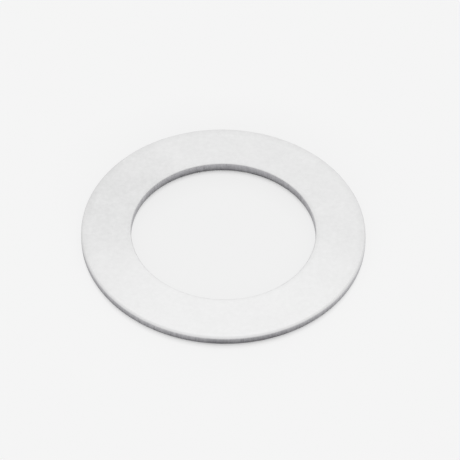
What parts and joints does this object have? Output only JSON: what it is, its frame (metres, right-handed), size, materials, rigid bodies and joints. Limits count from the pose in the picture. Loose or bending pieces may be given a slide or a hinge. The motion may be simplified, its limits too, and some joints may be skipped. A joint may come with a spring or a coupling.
{
  "type": "shim ring",
  "caption": "Thin flat steel ring that slides over a shaft and takes up end float beside a bearing, gear or circlip.",
  "frame": {"origin": "on the ring's axis, at its lower face, which it lies on", "axes": "+Z along the axis of the bore, up out of the face whose rim corner is rounded; X and Y are any two directions in the plane of the ring"},
  "size_m": [0.017, 0.017, 0.0006],
  "materials": {
    "tumbled_steel": "cold-rolled strip, blanked and tumbled to an even satin grey"
  },
  "bodies": {
    "root": {"shim_ring": "tumbled_steel"}
  },
  "joints": []
}
